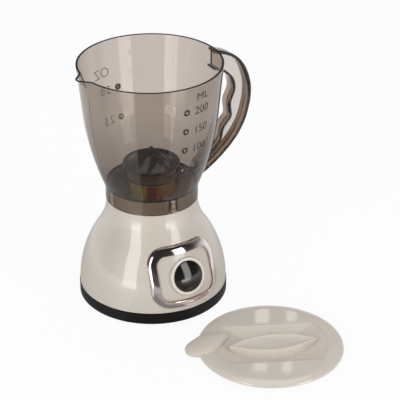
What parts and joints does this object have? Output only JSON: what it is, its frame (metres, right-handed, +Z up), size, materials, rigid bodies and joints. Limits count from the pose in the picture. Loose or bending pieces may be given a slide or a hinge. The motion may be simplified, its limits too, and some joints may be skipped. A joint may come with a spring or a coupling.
{
  "type": "toy blender",
  "caption": "Pretend-play blender: battery base with a push button, a clear handled jug with a motor-turned juicer cone over a coloured lamp drum, and a loose lid with a leaf-shaped grip.",
  "frame": {"origin": "centre of the base's underside, on the surface it stands on", "axes": "+Z up, +X towards the handle, -X towards the pouring lip, -Y out of the control panel"},
  "size_m": [0.153, 0.2484, 0.2],
  "materials": {
    "shell_cream": "gloss",
    "charcoal": "satin",
    "black_gloss": "gloss",
    "bright_trim": "vacuum-metallised mirror",
    "smoke_clear": "smoke-tinted clear",
    "reamer_grey": "gloss",
    "lens_yellow": "tinted clear",
    "lens_red": "tinted clear",
    "lens_amber": "tinted clear",
    "lamp_clear": "clear",
    "white_inner": "natural moulded",
    "dark_inner": "satin",
    "board": "solder mask",
    "cell": "film wrap",
    "steel": "plated"
  },
  "bodies": {
    "base": {"base_shell": "shell_cream", "foot_ring": "charcoal", "base_plate": "charcoal", "base_screws": "steel", "battery_cells": "cell", "battery_contacts": "steel", "battery_door": "charcoal", "door_screw": "steel", "speaker": "dark_inner", "panel_bezel": "bright_trim", "button_collar": "shell_cream", "circuit_board": "board", "board_screws": "steel", "tact_switch": "dark_inner", "button_spring": "steel", "gear_frame": "white_inner", "gear_cover": "white_inner", "gear_screws": "steel", "wheel_axle": "steel", "motor": "steel", "spindle_bush": "white_inner", "lamp_board": "board", "lamps": "lamp_clear", "lens_yellow": "lens_yellow", "lens_red": "lens_red", "lens_amber": "lens_amber", "lens_clear": "lamp_clear", "lamp_cap": "black_gloss"},
    "button": {"push_button": "black_gloss"},
    "rotor": {"motor_shaft": "steel", "motor_pinion": "white_inner"},
    "wheel": {"step_wheel": "white_inner"},
    "spindle": {"drive_spindle": "white_inner", "final_gear": "white_inner"},
    "jug": {"jug": "smoke_clear", "handle": "smoke_clear", "reamer_bush": "dark_inner"},
    "reamer": {"reamer": "reamer_grey", "reamer_shaft": "dark_inner", "shaft_clip": "steel"},
    "lid": {"lid": "shell_cream"}
  },
  "joints": [
    {"name": "button_press", "type": "slide", "parent": "base", "child": "button", "axis": [0, 0.9516, -0.3073], "range_m": [0, 0.002], "stiffness_N_per_m": 120, "springref_m": -0.004, "deforming": ["button_spring"]},
    {"name": "spindle_spin", "type": "hinge", "parent": "base", "child": "spindle", "pos_m": [0, 0, 0.08], "axis": [0, 0, 1], "continuous": true},
    {"name": "wheel_spin", "type": "hinge", "parent": "base", "child": "wheel", "pos_m": [0, 0.0192, 0.069], "axis": [0, 0, 1], "continuous": true},
    {"name": "motor_spin", "type": "hinge", "parent": "base", "child": "rotor", "pos_m": [-0.01523, 0.0121, 0.0655], "axis": [0, 0, 1], "continuous": true},
    {"name": "jug_lift", "type": "slide", "parent": "base", "child": "jug", "axis": [0, 0, 1], "range_m": [0, 0.06]},
    {"name": "reamer_spin", "type": "hinge", "parent": "jug", "child": "reamer", "pos_m": [0, 0, 0.11], "axis": [0, 0, 1], "continuous": true},
    {"name": "lid_lift", "type": "slide", "parent": "base", "child": "lid", "axis": [0, 0, 1], "range_m": [0, 0.1]}
  ],
  "couplings": [
    {"joint": "reamer_spin", "follows": "spindle_spin", "ratio": 1},
    {"joint": "wheel_spin", "follows": "spindle_spin", "ratio": -3},
    {"joint": "motor_spin", "follows": "spindle_spin", "ratio": 7.5}
  ]
}
